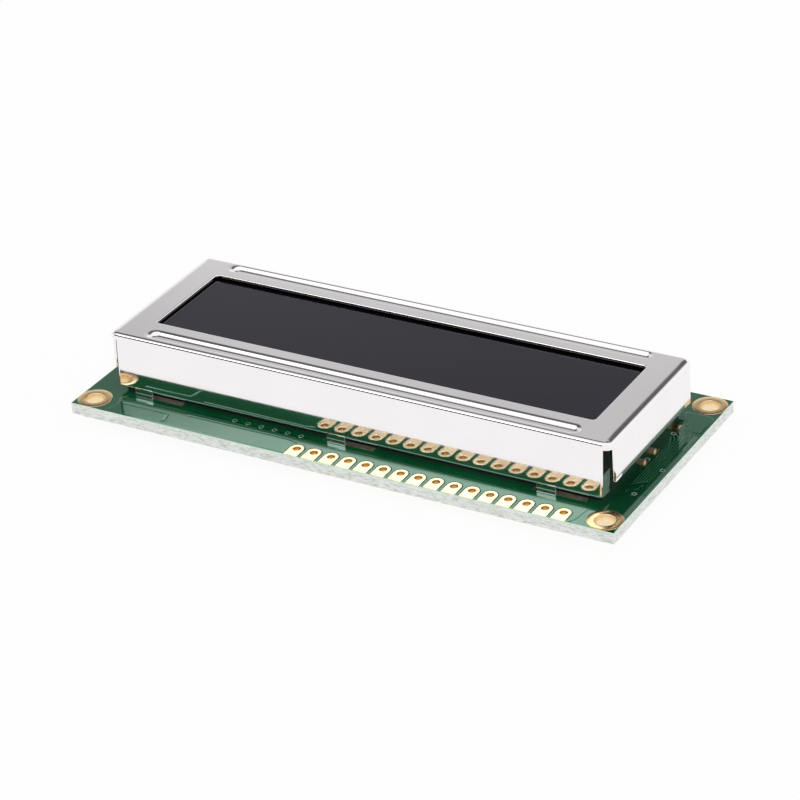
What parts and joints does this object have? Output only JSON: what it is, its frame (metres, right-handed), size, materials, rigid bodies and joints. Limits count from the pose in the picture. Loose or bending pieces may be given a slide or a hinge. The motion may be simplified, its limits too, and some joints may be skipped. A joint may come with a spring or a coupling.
{
  "type": "character display module",
  "caption": "Character display module: a dark display window in a folded metal bezel, held on a green board with a row of plated pin holes.",
  "frame": {"origin": "centre of the four mounting holes, on the board's rear face", "axes": "+X along the board, +Y towards the edge with the pin holes, +Z out of the display's face"},
  "size_m": [0.0794, 0.0356, 0.0118],
  "materials": {
    "board_mask": "glossy green lacquer",
    "plated_copper": "polished pale gold plating",
    "bezel_steel": "bright tin plating, almost a mirror",
    "cell_glass": "clear polished",
    "polarizer_film": "satin dark film",
    "cell_seal": "matte",
    "frame_plastic": "moulded semi-gloss",
    "strip_rubber": "matte",
    "clear_plastic": "clear polished",
    "white_plastic": "matte",
    "diode_plastic": "satin",
    "lead_metal": "tinned",
    "cover_resin": "smooth moulded resin",
    "resistor_body": "satin with tinned ends",
    "capacitor_body": "satin with tinned ends"
  },
  "bodies": {
    "root": {"circuit_board": "board_mask", "header_pad_01": "plated_copper", "header_pad_02": "plated_copper", "header_pad_03": "plated_copper", "header_pad_04": "plated_copper", "header_pad_05": "plated_copper", "header_pad_06": "plated_copper", "header_pad_07": "plated_copper", "header_pad_08": "plated_copper", "header_pad_09": "plated_copper", "header_pad_10": "plated_copper", "header_pad_11": "plated_copper", "header_pad_12": "plated_copper", "header_pad_13": "plated_copper", "header_pad_14": "plated_copper", "header_pad_15": "plated_copper", "header_pad_16": "plated_copper", "mounting_ring_1": "plated_copper", "mounting_ring_2": "plated_copper", "mounting_ring_3": "plated_copper", "mounting_ring_4": "plated_copper", "bezel": "bezel_steel", "front_glass": "cell_glass", "rear_glass": "cell_glass", "front_polarizer": "polarizer_film", "rear_polarizer": "polarizer_film", "lcd_seal": "cell_seal", "display_frame": "frame_plastic", "contact_strip_1": "strip_rubber", "contact_strip_2": "strip_rubber", "light_guide": "clear_plastic", "diffuser_film": "white_plastic", "backlight_board": "white_plastic", "backlight_diode_1": "diode_plastic", "backlight_diode_2": "diode_plastic", "backlight_lead_1": "lead_metal", "backlight_lead_2": "lead_metal", "backlight_land_1": "plated_copper", "backlight_land_2": "plated_copper", "test_land": "plated_copper", "chip_cover_1": "cover_resin", "chip_cover_2": "cover_resin", "resistor_1": "resistor_body", "resistor_2": "resistor_body", "resistor_3": "resistor_body", "resistor_4": "resistor_body", "resistor_5": "resistor_body", "resistor_6": "resistor_body", "resistor_7": "resistor_body", "capacitor_1": "capacitor_body", "capacitor_2": "capacitor_body"}
  },
  "joints": []
}
